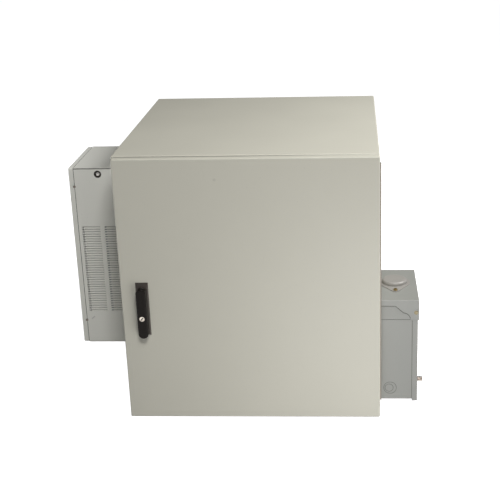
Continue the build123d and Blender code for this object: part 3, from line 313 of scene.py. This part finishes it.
def powder_coat(name, colour, gloss=0.36, marks=(), bands=(), hollows=()):
    """Baked powder coat: faint clouds, fine orange peel and dust specks.

    A mark is a centre, an inner and an outer radius and a strength. A band of painted shade in a gap is an axis,
    two positions, a strength and the stretch of X where it fades, or None. A hollow with painted shade is the Y of
    the face, the way into it, the depths where the shade starts, is full and ends, and a strength.
    """
    finish = Finish(name)
    cloud = finish.noise(scale=4.0, detail=3.0)
    peel = finish.noise(scale=520.0, detail=1.5)
    grain = finish.noise(scale=1900.0, detail=1.0)
    speck = finish.ramp(finish.noise(scale=240.0, detail=0.0), low=0.76, high=0.84)
    base = finish.tint(cloud, colour, dark=0.965, light=1.035)
    base = finish.mix(speck * SPECK_SHARE, base, shade(colour, SPECK_SHADE))
    for centre, inner, outer, share in marks:
        base = finish.mix(finish.spot(centre, inner, outer) * share, base, shade(colour, MARK_SHADE))
    # Bands of painted shade in the gaps between panels, in seal brown, some fading along X
    for axis, low, high, share, fade in bands:
        strength = finish.band(axis, low, high) * share
        if fade:
            strength = strength * (1.0 - finish.ramp(finish.along("X"), *fade))
        base = finish.mix(strength, base, SEAL_AND_SHADE_BROWN)
    # Painted shade in hollows: darker with depth behind the face, fading out past the limit
    for plane, way, shallow, deep, limit, share in hollows:
        depth = way * (finish.along("Y") - plane)
        hollow_shade = finish.ramp(depth, shallow, deep) * (1.0 - finish.ramp(depth, limit, HOLLOW_SHADE_FADE * limit))
        base = finish.mix(hollow_shade * share, base, shade(colour, HOLLOW_SHADE))
    cloud_rough, grain_rough, grain_height = 0.10, 0.06, 0.25
    finish.set("Base Color", base)
    finish.set("Roughness", gloss + cloud_rough * cloud + grain_rough * grain)
    finish.bump(peel + grain_height * grain, distance=0.08 * MM, strength=0.28)
    return finish.material


def plated_steel(name, colour, rough=0.30):
    """Plated steel with fine drawn lines and dull patches."""
    finish = Finish(name, metallic=1.0)
    drawn = finish.stretched(scale=(1800.0, 1800.0, 60.0))
    lines = finish.noise(scale=1.0, detail=2.0, place=drawn)
    patch = finish.noise(scale=38.0, detail=3.0)
    patch_rough, line_rough = 0.16, 0.08
    finish.set("Base Color", finish.tint(patch, colour, dark=0.80, light=1.10))
    finish.set("Roughness", rough + patch_rough * patch + line_rough * lines)
    finish.bump(lines, distance=0.03 * MM, strength=0.25)
    return finish.material


def galvanised_steel(name):
    """Hot-dip galvanised steel with its spangle."""
    finish = Finish(name, metallic=0.85)
    spangle = finish.cells(scale=95.0, output="Color")
    shine = finish.add("ShaderNodeSeparateColor", None, {0: spangle})
    patch = finish.noise(scale=14.0, detail=3.0)
    rough, shine_rough, patch_rough = 0.36, 0.18, 0.10
    finish.set("Base Color", finish.tint(shine, GALVANISED, dark=0.78, light=1.15))
    finish.set("Roughness", rough + shine_rough * shine + patch_rough * patch)
    finish.bump(shine + patch, distance=0.06 * MM, strength=0.30)
    return finish.material


def moulded_plastic(name, colour, rough=0.48):
    """Moulded plastic with a fine spark-eroded texture."""
    finish = Finish(name)
    grain = finish.noise(scale=1500.0, detail=2.0)
    cloud = finish.noise(scale=20.0, detail=2.0)
    grain_rough = 0.12
    finish.set("Base Color", finish.tint(cloud, colour, dark=0.85, light=1.2))
    finish.set("Roughness", rough + grain_rough * grain)
    finish.bump(grain, distance=0.05 * MM, strength=0.35)
    return finish.material


def foam_rubber(name):
    """Closed-cell foam."""
    finish = Finish(name, roughness=0.85)
    pores = finish.cells(scale=900.0)
    finish.set("Base Color", finish.tint(pores, RUBBER_BLACK, dark=0.6, light=2.2))
    finish.bump(pores, distance=0.3 * MM, strength=0.6)
    return finish.material


def finned_coil(name):
    """Thin aluminium fins packed along X, with painted shade in the gaps between them."""
    finish = Finish(name, metallic=0.7)
    wave = finish.add("ShaderNodeTexWave", {"wave_type": "BANDS", "bands_direction": "X"},
                      {"Vector": finish.place, "Scale": 150.0, "Distortion": 0.0})
    dust = finish.noise(scale=45.0, detail=3.0)
    # The dark side of the fin bands is painted shade in the gaps
    fin = finish.ramp(wave, low=0.25, high=0.75)
    base = finish.tint(fin, ALUMINIUM, dark=0.10, light=0.80)
    dust_share, dust_shade = 0.3, 0.4
    rough, dust_rough = 0.40, 0.2
    finish.set("Base Color", finish.mix(dust * dust_share, base, shade(CABINET_GREY, dust_shade)))
    finish.set("Roughness", rough + dust_rough * dust)
    finish.bump(wave, distance=0.6 * MM, strength=0.6)
    return finish.material


def coated_casting(name, colour, shine):
    """Brown-black coated die casting of the handle."""
    finish = Finish(name, specular_ior_level=shine)
    grain = finish.noise(scale=1100.0, detail=2.0)
    cloud = finish.noise(scale=60.0, detail=2.0)
    rough, grain_rough = 0.36, 0.16
    finish.set("Base Color", finish.tint(cloud, colour, dark=0.8, light=1.3))
    finish.set("Roughness", rough + grain_rough * grain)
    finish.bump(grain, distance=0.05 * MM, strength=0.30)
    return finish.material


def studio_white():
    """Plain pale finish of the studio's floor and backdrop."""
    finish = Finish("studio_floor", roughness=0.9, emission_strength=1.0)
    away = finish.add("ShaderNodeVectorMath", {"operation": "LENGTH"}, {0: finish.place}, "Value")
    distance = finish.ramp(away, GLOW_NEAR_EDGE, GLOW_FAR_EDGE)
    finish.set("Base Color", FLOOR_WHITE)
    finish.set("Emission Color", finish.mix(distance, FLOOR_NEAR_GLOW, FLOOR_FAR_GLOW))
    return finish.material


def make_finishes():
    """One finish for each slot of the record."""
    return {
        "cabinet_paint": powder_coat("cabinet_powder_coat", CABINET_GREY),
        "cooler_paint": powder_coat("cooler_powder_coat", COOLER_GREY),
        "centre_paint": powder_coat("centre_enamel", CENTRE_GREY, ENAMEL_GLOSS),
        "rail_zinc": plated_steel("bright_zinc", BRIGHT_ZINC, rough=0.36),
        "bracket_zinc": galvanised_steel("galvanised_bracket"),
        "copper": plated_steel("drawn_copper", COPPER, rough=0.26),
        "yellow_zinc": plated_steel("yellow_zinc", YELLOW_ZINC, rough=0.24),
        "insulator": moulded_plastic("insulator_plastic", INSULATOR_RED),
        "foam": foam_rubber("foam_gasket"),
        "plug_rubber": moulded_plastic("plug_rubber", RUBBER_BLACK, rough=0.6),
        "handle_black": coated_casting("handle_casting", HANDLE_BLACK, shine=0.10),
        "latch_plastic": moulded_plastic("latch_plastic", PLASTIC_BLACK),
        "lock_chrome": plated_steel("lock_nickel", NICKEL, rough=0.20),
        "coil_aluminium": finned_coil("coil_fins"),
        "compressor_black": moulded_plastic("compressor_enamel", ENAMEL_BLACK, rough=0.30),
        "breaker_plastic": moulded_plastic("breaker_case", PLASTIC_BLACK, rough=0.40),
        "terminal_aluminium": plated_steel("terminal_bar", ALUMINIUM, rough=0.32),
    }


finishes = make_finishes()
# Dark rubber of the seals and the grommet, also the strip of painted shade under the hood
dark_rubber_and_shade = moulded_plastic("dark_rubber_and_shade", SEAL_AND_SHADE_BROWN, rough=0.7)
stud_nickel = plated_steel("stud_nickel", STUD_NICKEL, rough=0.22)
shade_darkened_steel = plated_steel("shade_darkened_steel", SHADE_DARKENED_STEEL, rough=0.38)
port_steel = plated_steel("port_steel", PORT_STEEL, rough=0.34)
shaded_pivot_zinc = plated_steel("shaded_pivot_zinc", SHADED_PIVOT_ZINC, rough=0.30)
lit_dish_casting = coated_casting("lit_dish_casting", LIT_DISH_BROWN, shine=0.35)


def paint_node(name, material):
    """Give one solid a finish of its own."""
    mesh = frame["nodes"][name].data
    mesh.materials.clear()
    mesh.materials.append(material)


def paint_door():
    """Door with a hand mark near its top and painted shade in the gap behind its edge, which fades to the right."""
    low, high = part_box("door_panel")
    smudge = (low.x + SMUDGE_ALONG, low.y, high.z - SMUDGE_DROP)
    marks = [(smudge, SMUDGE_INNER, SMUDGE_OUTER, SMUDGE_SHARE)]
    gap = ("Y", high.y - DOOR_SHADE_BAND, high.y + DOOR_SHADE_BAND, DOOR_SHADE_BAND_SHARE, (0.0, high.x))
    paint_node("door_panel", powder_coat("door_powder_coat", CABINET_GREY, marks=marks, bands=[gap]))


def paint_cooler_sides():
    """Louvred sides with painted shade in the gap under the top and in the louvres, and scuffs on the front one."""
    low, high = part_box("cooler_side_front")
    rear_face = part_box("cooler_side_rear")[1].y
    marks = []
    for i in range(SCUFF_COUNT):
        along, rise = SCUFF_ALONG + i * SCUFF_STEP_ALONG, SCUFF_RISE + i * SCUFF_STEP_UP
        scuff = (low.x + along, low.y, low.z + rise)
        marks.append((scuff, SCUFF_INNER, SCUFF_OUTER, SCUFF_SHARE))
    # Painted shade: a band in the gap under the top, and darkening deeper in the louvres
    gap = ("Z", high.z - TOP_SHADE_BAND, high.z + TOP_SHADE_BAND, TOP_SHADE_BAND_SHARE, None)
    front_hollow_shade, rear_hollow_shade = (low.y, FROM_FRONT, *LOUVRE_SHADE), (rear_face, FROM_BACK, *LOUVRE_SHADE)
    front = powder_coat("cooler_front_powder_coat", COOLER_GREY, marks=marks, bands=[gap],
                        hollows=[front_hollow_shade])
    rear = powder_coat("cooler_rear_powder_coat", COOLER_GREY, bands=[gap], hollows=[rear_hollow_shade])
    paint_node("cooler_side_front", front)
    paint_node("cooler_side_rear", rear)


def paint_centre_box():
    """Load centre's box with painted shade in the gap behind its cover and in its grooves."""
    low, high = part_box("centre_box")
    cover_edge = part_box("centre_cover")[0].x
    # Painted shade: a band beside the cover's edge, and darkening in the grooves
    gap = ("X", cover_edge - COVER_SHADE_BAND, cover_edge, COVER_SHADE_BAND_SHARE, None)
    hollow_shade = [(low.y, FROM_FRONT, *GROOVE_SHADE), (high.y, FROM_BACK, *GROOVE_SHADE)]
    enamel = powder_coat("centre_box_enamel", CENTRE_GREY, ENAMEL_GLOSS, bands=[gap], hollows=hollow_shade)
    paint_node("centre_box", enamel)


def dress_nodes():
    """Give every solid the finish of its slot, then the few that differ their own."""
    for part in frame["record"]["subparts"]:
        paint_node(part["node"], finishes[part["material_slot"]])
    paint_door()
    paint_cooler_sides()
    paint_centre_box()
    # The dish's lighter copy of the handle's black is painted light
    paint_node("handle_dish", lit_dish_casting)
    paint_node("hub_plate", powder_coat("hub_enamel", HUB_GREY, HUB_GLOSS))
    # The hinge's darkened steel is painted shade
    for name in ("hinge_body_leaf", "hinge_door_leaf", "hinge_pin"):
        paint_node(name, shade_darkened_steel)


def select_only(piece):
    """Make a piece the one selected and active object."""
    bpy.ops.object.select_all(action="DESELECT")
    piece.select_set(True)
    bpy.context.view_layer.objects.active = piece


def begin(name, add, **settings):
    """Add one primitive with nothing else selected, put its place into its mesh and name it."""
    bpy.ops.object.select_all(action="DESELECT")
    add(**settings)
    piece = bpy.context.object
    piece.name = name
    bpy.ops.object.transform_apply(location=True, rotation=True, scale=True)
    return piece


def round_bar(name, radius, length, base, along, sides):
    """A round or many-sided bar that runs from its base along a direction."""
    return begin(name, bpy.ops.mesh.primitive_cylinder_add, vertices=sides, radius=radius, depth=length,
                 location=base + along * length / 2, rotation=along.to_track_quat("Z", "Y").to_euler())


def block(name, low, high):
    """A block between two corners."""
    return begin(name, bpy.ops.mesh.primitive_cube_add, size=1.0,
                 location=(low + high) / 2, scale=high - low)


def pick(piece, test, kind="FACE"):
    """Go to edit mode with only the faces or edges that pass a test selected."""
    select_only(piece)
    bpy.ops.object.mode_set(mode="EDIT")
    bpy.ops.mesh.select_mode(type=kind)
    bpy.ops.mesh.select_all(action="DESELECT")
    bpy.ops.object.mode_set(mode="OBJECT")
    for item in piece.data.polygons if kind == "FACE" else piece.data.edges:
        item.select = test(item)
    bpy.ops.object.mode_set(mode="EDIT")


def sink_face(piece, along, inset, push):
    """Inset the outermost face that looks along a direction and push its middle out, or in if negative."""
    facing = [face.center.dot(along) for face in piece.data.polygons if face.normal.dot(along) > FACING]
    outermost = max(facing) - SAME_PLANE
    pick(piece, lambda face: face.normal.dot(along) > FACING and face.center.dot(along) > outermost)
    bpy.ops.mesh.inset(thickness=inset)
    bpy.ops.mesh.extrude_region_move(TRANSFORM_OT_translate={"value": along * push})
    bpy.ops.object.mode_set(mode="OBJECT")


def weld(piece):
    """Merge points that lie on each other and clear away the slivers between them."""
    pick(piece, lambda face: True)
    bpy.ops.mesh.remove_doubles(threshold=MERGE_GAP)
    bpy.ops.mesh.dissolve_degenerate(threshold=MERGE_GAP)
    bpy.ops.object.mode_set(mode="OBJECT")


def soften(piece, width, segments=2):
    """Round the sharp edges of a piece and shade it smooth."""
    select_only(piece)
    bevel = piece.modifiers.new("soft_edges", "BEVEL")
    bevel.width = width
    bevel.segments = segments
    bevel.limit_method = "ANGLE"
    bevel.angle_limit = SHARP_ANGLE
    bpy.ops.object.modifier_apply(modifier=bevel.name)
    weld(piece)
    bpy.ops.object.shade_smooth_by_angle(angle=SHARP_ANGLE)


def cut(piece, tool):
    """Cut a tool's shape out of a piece and throw the tool away."""
    select_only(piece)
    boolean = piece.modifiers.new("cut", "BOOLEAN")
    boolean.operation = "DIFFERENCE"
    boolean.object = tool
    bpy.ops.object.modifier_apply(modifier=boolean.name)
    bpy.data.objects.remove(tool)


def join(name, pieces):
    """Join pieces into one."""
    bpy.ops.object.select_all(action="DESELECT")
    for piece in pieces:
        piece.select_set(True)
    bpy.context.view_layer.objects.active = pieces[0]
    if len(pieces) > 1:
        bpy.ops.object.join()
    pieces[0].name = name
    return pieces[0]


def place_copies(name, master, seats):
    """Copies of a piece modelled at the origin along +Z, one on each seat, joined as one piece."""
    copies = []
    for point, along in seats:
        mesh = master.data.copy()
        mesh.transform(Matrix.Translation(point) @ along.to_track_quat("Z", "Y").to_matrix().to_4x4())
        copies.append(bpy.data.objects.new(name, mesh))
        bpy.context.scene.collection.objects.link(copies[-1])
    bpy.data.objects.remove(master)
    return join(name, copies)


def hand_over(piece, body, slot, *nodes, finish=None):
    """Give a new piece its finish and let it ride on a body, in the place of its solids."""
    piece.data.materials.clear()
    piece.data.materials.append(finish or finishes[slot])
    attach(piece, body)
    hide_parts(*nodes)


def make_lid_seal():
    """Rubber bead in the seam behind the cooling unit's lid; its dark colour is also painted shade in the seam."""
    low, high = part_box("cooler_lid")
    inset = Vector((0, SEAL_RECESS, SEAL_RECESS))
    seal = block("lid_seal", Vector((high.x, low.y, low.z)) + inset,
                 Vector((high.x + LID_SEAM, high.y, high.z)) - inset)
    spots = [vertex.co.copy() for vertex in seal.data.vertices]

    def is_corner(edge):
        start, end = edge.vertices
        return abs(spots[start].x - spots[end].x) > LID_SEAM / 2

    pick(seal, is_corner, "EDGE")
    bpy.ops.mesh.bevel(offset=LID_CORNER, segments=LID_CORNER_SEGMENTS)
    bpy.ops.object.mode_set(mode="OBJECT")
    pick(seal, lambda face: abs(face.normal.x) > FACING)
    bpy.ops.mesh.inset(thickness=SEAL_WALL)
    bpy.ops.mesh.delete(type="FACE")
    bpy.ops.mesh.select_mode(type="EDGE")
    bpy.ops.mesh.select_non_manifold()
    bpy.ops.mesh.bridge_edge_loops()
    bpy.ops.mesh.select_all(action="SELECT")
    bpy.ops.mesh.normals_make_consistent(inside=False)
    bpy.ops.object.mode_set(mode="OBJECT")
    hand_over(seal, "cabinet", "foam", finish=dark_rubber_and_shade)


def make_port():
    """Rubber grommet in the cooling unit's port, with a bolt head at its bottom."""
    low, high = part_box("port_bush")
    middle = (low + high) / 2
    mouth = Vector((middle.x, low.y, middle.z))
    grommet = round_bar("port_grommet", (high.x - low.x) / 2, high.y - low.y, mouth, BACK, TURNED_SIDES)
    sink_face(grommet, FRONT, PORT_WALL, -PORT_DEPTH)
    soften(grommet, PORT_ROUND, segments=3)
    hand_over(grommet, "cabinet", "rail_zinc", "port_bush", finish=dark_rubber_and_shade)
    seat = mouth + BACK * PORT_DEPTH
    bolt = round_bar("port_bolt", PORT_BOLT_RADIUS, PORT_BOLT_HEAD, seat, FRONT, HEXAGON)
    sink_face(bolt, FRONT, PORT_BOLT_INSET, PORT_BOLT_CROWN)
    soften(bolt, PORT_BOLT_ROUND)
    hand_over(bolt, "cabinet", "rail_zinc", finish=port_steel)


def key_block(name, face, gap, near, far):
    """A block in the shape of the keyway, turned with it, between two depths behind the lock's face."""
    half = Vector((KEYWAY_WIDTH / 2 - gap, 0, KEYWAY_LENGTH / 2 - gap))
    piece = block(name, face - half + BACK * near, face + half + BACK * far)
    select_only(piece)
    bpy.ops.transform.rotate(value=KEYWAY_TILT, orient_axis="Y", center_override=face)
    bpy.ops.object.transform_apply(location=True, rotation=True, scale=True)
    return piece


def make_lock():
    """Key cylinder with a raised rim and a keyway that a dark shutter closes."""
    low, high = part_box("lock_cylinder")
    middle = (low + high) / 2
    radius = (high.x - low.x) / 2
    face = Vector((middle.x, low.y, middle.z))
    plug = round_bar("lock_plug", radius, high.y - low.y, face, BACK, TURNED_SIDES)
    sink_face(plug, FRONT, LOCK_RIM, -LOCK_RIM_HEIGHT)
    cut(plug, key_block("keyway_tool", face, 0, -KEYWAY_DEPTH, KEYWAY_DEPTH))
    soften(plug, LOCK_RIM_ROUND, segments=3)
    hand_over(plug, "key_plug", "lock_chrome", "lock_cylinder")
    shutter = key_block("key_shutter", face, SHUTTER_GAP, SHUTTER_SINK, KEYWAY_DEPTH)
    sink_face(shutter, FRONT, SHUTTER_LIP, -SHUTTER_LIP)
    soften(shutter, SHUTTER_GAP)
    hand_over(shutter, "key_plug", "latch_plastic")


def model_slotted_screw(radius, height, shank_radius, shank_length):
    """A slotted round-head screw at the origin, its head along +Z."""
    head = round_bar("slotted_head", radius, RIM_HEIGHT * height, ORIGIN, UP, HEAD_SIDES)
    for inset, rise in (SHOULDER_STEP, CROWN_STEP):
        sink_face(head, UP, inset * radius, rise * height)
    half_slot = Vector((DRIVE_REACH * radius, DRIVE_HALF_WIDTH * radius, DRIVE_DEPTH * height))
    cut(head, block("slot_tool", UP * height - half_slot, UP * height + half_slot))
    soften(head, HEAD_ROUND * radius)
    shank = round_bar("shank", shank_radius, shank_length, ORIGIN, DOWN, SHANK_SIDES)
    return join("slotted_screw", [head, shank])


def model_flange_screw(radius, height, shank_radius, shank_length):
    """A hexagon flange screw at the origin, its head along +Z."""
    flange = round_bar("flange", FLANGE_RADIUS * radius, FLANGE_HEIGHT * height, ORIGIN, UP, FLANGE_SIDES)
    head = round_bar("hexagon", radius, HEXAGON_HEIGHT * height, ORIGIN, UP, HEXAGON)
    inset, rise = HEXAGON_STEP
    sink_face(head, UP, inset * radius, rise * height)
    for part in (flange, head):
        soften(part, HEXAGON_ROUND * radius)
    shank = round_bar("shank", shank_radius, shank_length, ORIGIN, DOWN, SHANK_SIDES)
    return join("flange_screw", [flange, head, shank])


def make_lid_screws():
    """Four slotted screws through the skirt of the cooling unit's lid."""
    low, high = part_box("lid_screws")
    x = (low.x + high.x) / 2
    seats = [(Vector((x, y, z)), along)
             for y, along in ((low.y + LID_HEAD, FRONT), (high.y - LID_HEAD, BACK))
             for z in (low.z + LID_HEAD_RADIUS, high.z - LID_HEAD_RADIUS)]
    screw = model_slotted_screw(LID_HEAD_RADIUS, LID_HEAD, LID_SHANK_RADIUS, LID_SHANK)
    screws = place_copies("lid_screw_set", screw, seats)
    # Darkened steel on the lid screws is painted shade
    hand_over(screws, "cabinet", "rail_zinc", "lid_screws", finish=shade_darkened_steel)


def make_pivot_screws():
    """Two slotted screws on which the load centre's cover turns."""
    low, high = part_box("pivot_screws")
    x, z = (low.x + high.x) / 2, (low.z + high.z) / 2
    seats = [(Vector((x, low.y + PIVOT_HEAD, z)), FRONT), (Vector((x, high.y - PIVOT_HEAD, z)), BACK)]
    screw = model_slotted_screw((high.x - low.x) / 2, PIVOT_HEAD, PIVOT_SHANK_RADIUS, PIVOT_SHANK)
    screws = place_copies("pivot_screw_pair", screw, seats)
    # The darker zinc on the pivot screws is painted shade
    hand_over(screws, "cabinet", "yellow_zinc", "pivot_screws", finish=shaded_pivot_zinc)


def make_hub_screw():
    """Hexagon flange screw that holds the hub plate."""
    low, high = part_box("hub_screws")
    seat = Vector(((low.x + high.x) / 2, (low.y + high.y) / 2, high.z - HUB_HEAD))
    screw = model_flange_screw(HUB_HEAD_RADIUS, HUB_HEAD, HUB_SHANK_RADIUS, seat.z - low.z)
    screws = place_copies("hub_flange_screw", screw, [(seat, UP)])
    hand_over(screws, "cabinet", "yellow_zinc", "hub_screws")


def make_hood_shade_strip():
    """Dark strip of painted shade under the swept edges of the rain hood's sides, taken from the edges themselves.
    """
    hood = frame["nodes"]["centre_hood"]
    low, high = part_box("centre_hood")
    strip = bpy.data.objects.new("hood_shade_strip", hood.data.copy())
    bpy.context.scene.collection.objects.link(strip)

    def is_rest(face):
        on_flange = min(face.center.y - low.y, high.y - face.center.y) < HOOD_SHEET
        is_edge = abs(face.normal.y) < STRIP_SIDE_LIMIT and face.normal.z < -STRIP_DOWN_LIMIT
        return not (on_flange and is_edge and face.center.z > low.z + HOOD_SHADE_STRIP)

    weld(strip)
    pick(strip, is_rest)
    bpy.ops.mesh.delete(type="FACE")
    bpy.ops.mesh.select_all(action="SELECT")
    bpy.ops.mesh.extrude_region_shrink_fatten(TRANSFORM_OT_shrink_fatten={"value": HOOD_SHADE_STRIP})
    bpy.ops.mesh.select_all(action="SELECT")
    bpy.ops.mesh.normals_make_consistent(inside=False)
    bpy.ops.object.mode_set(mode="OBJECT")
    hand_over(strip, "cabinet", "foam", finish=dark_rubber_and_shade)


def make_padlock_stud():
    """Turned padlock stud on the cover, cross-drilled."""
    low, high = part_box("hasp_stud")
    middle = (low + high) / 2
    radius = (high.z - low.z) / 2
    base = Vector((low.x, middle.y, middle.z))
    stud = round_bar("padlock_stud", radius, high.x - low.x, base, RIGHT, TURNED_SIDES)
    drill_base = Vector((low.x + STUD_HOLE_REACH, middle.y, low.z - radius))
    drill_length = 4 * radius
    cut(stud, round_bar("stud_drill", STUD_HOLE_RADIUS, drill_length, drill_base, UP, DRILL_SIDES))
    soften(stud, STUD_ROUND, segments=3)
    hand_over(stud, "load_cover", "rail_zinc", "hasp_stud", finish=stud_nickel)


def make_camera():
    """Camera at the photograph's place, with a small shift for its framing."""
    data = bpy.data.cameras.new("photo_camera")
    data.sensor_width = SENSOR_WIDTH
    data.lens = FOCAL_PIXELS / PHOTO_SIZE * SENSOR_WIDTH
    data.shift_x = (PHOTO_SIZE / 2 - CENTRE_PIXEL[0]) / PHOTO_SIZE
    data.shift_y = (CENTRE_PIXEL[1] - PHOTO_SIZE / 2) / PHOTO_SIZE
    camera = bpy.data.objects.new("photo_camera", data)
    bpy.context.scene.collection.objects.link(camera)
    turn = Matrix.Rotation(-CAMERA_YAW, 4, "Z") @ Matrix.Rotation(math.pi / 2 - CAMERA_PITCH, 4, "X")
    camera.matrix_world = Matrix.Translation(CAMERA_PLACE) @ turn @ Matrix.Rotation(CAMERA_ROLL, 4, "Z")
    bpy.context.scene.camera = camera


def make_softbox(name, place, aim, size, power):
    """A square soft light aimed at a point."""
    data = bpy.data.lights.new(name, "AREA")
    data.size = size
    data.energy = power
    light = bpy.data.objects.new(name, data)
    bpy.context.scene.collection.objects.link(light)
    light.location = place
    light.visible_camera = False
    light.rotation_euler = (Vector(aim) - Vector(place)).to_track_quat("-Z", "Y").to_euler()


def make_studio():
    """Pale floor and backdrop, even sky and softboxes.

    The floor and the backdrop glow for the picture, but they neither light nor shade the object.
    Only the floor shows in shiny pieces.
    """
    floor = begin("studio_floor", bpy.ops.mesh.primitive_plane_add, size=STUDIO_SPAN)
    wall = begin("studio_wall", bpy.ops.mesh.primitive_cylinder_add, radius=STUDIO_RADIUS, depth=STUDIO_SPAN,
                 vertices=WALL_SIDES, end_fill_type="NOTHING")
    wall.visible_glossy = False
    white = studio_white()
    for stage in (floor, wall):
        stage.data.materials.append(white)
        stage.visible_diffuse = False
        stage.visible_shadow = False
    sky = bpy.data.worlds.new("studio_sky")
    sky.use_nodes = True
    sky.node_tree.nodes["Background"].inputs["Color"].default_value = (SKY_GLOW, SKY_GLOW, SKY_GLOW, 1.0)
    bpy.context.scene.world = sky
    bpy.context.scene.view_settings.view_transform = "Standard"
    for name, settings in SOFTBOXES.items():
        make_softbox(name, *settings)


dress_nodes()
make_lid_seal()
make_port()
make_lock()
make_lid_screws()
make_pivot_screws()
make_hub_screw()
make_hood_shade_strip()
make_padlock_stud()
make_camera()
make_studio()
